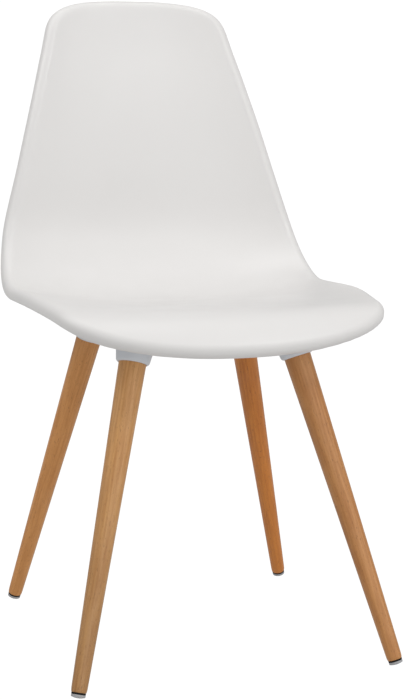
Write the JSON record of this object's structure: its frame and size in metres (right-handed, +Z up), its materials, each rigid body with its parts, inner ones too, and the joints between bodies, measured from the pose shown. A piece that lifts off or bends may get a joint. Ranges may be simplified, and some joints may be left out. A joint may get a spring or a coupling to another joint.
{
  "type": "dining chair",
  "caption": "Armless dining chair: a moulded plastic seat-and-back shell on splayed, tapered beech legs that screw up into sockets under the seat.",
  "frame": {"origin": "on the floor, under the middle of the whole chair's bounding box", "axes": "+Z up, -Y the way the sitter faces, +X to the sitter's left"},
  "size_m": [0.4548, 0.5251, 0.8562],
  "materials": {
    "shell": "satin white moulded polypropylene",
    "socket": "satin white moulded nylon",
    "brace": "light grey powder coat on pressed steel",
    "wood": "turned beech under clear satin lacquer",
    "steel": "bright zinc plate",
    "rubber": "matt black rubber",
    "glide": "grey moulded nylon"
  },
  "bodies": {
    "root": {"seat_shell": "shell", "cross_brace": "brace", "leg_socket_front_left": "socket", "leg_socket_front_right": "socket", "leg_socket_rear_left": "socket", "leg_socket_rear_right": "socket", "leg_front_left": "wood", "leg_front_right": "wood", "leg_rear_left": "wood", "leg_rear_right": "wood", "threaded_insert_front_left": "steel", "threaded_insert_front_right": "steel", "threaded_insert_rear_left": "steel", "threaded_insert_rear_right": "steel", "hanger_bolt_front_left": "steel", "hanger_bolt_front_right": "steel", "hanger_bolt_rear_left": "steel", "hanger_bolt_rear_right": "steel", "glide_cushion_front_left": "rubber", "glide_cushion_front_right": "rubber", "glide_cushion_rear_left": "rubber", "glide_cushion_rear_right": "rubber", "glide_base_front_left": "glide", "glide_base_front_right": "glide", "glide_base_rear_left": "glide", "glide_base_rear_right": "glide", "glide_nail_front_left": "steel", "glide_nail_front_right": "steel", "glide_nail_rear_left": "steel", "glide_nail_rear_right": "steel", "socket_screw_front_left_1": "steel", "socket_screw_front_left_2": "steel", "socket_screw_front_left_3": "steel", "socket_screw_front_right_1": "steel", "socket_screw_front_right_2": "steel", "socket_screw_front_right_3": "steel", "socket_screw_rear_left_1": "steel", "socket_screw_rear_left_2": "steel", "socket_screw_rear_left_3": "steel", "socket_screw_rear_right_1": "steel", "socket_screw_rear_right_2": "steel", "socket_screw_rear_right_3": "steel"}
  },
  "joints": []
}
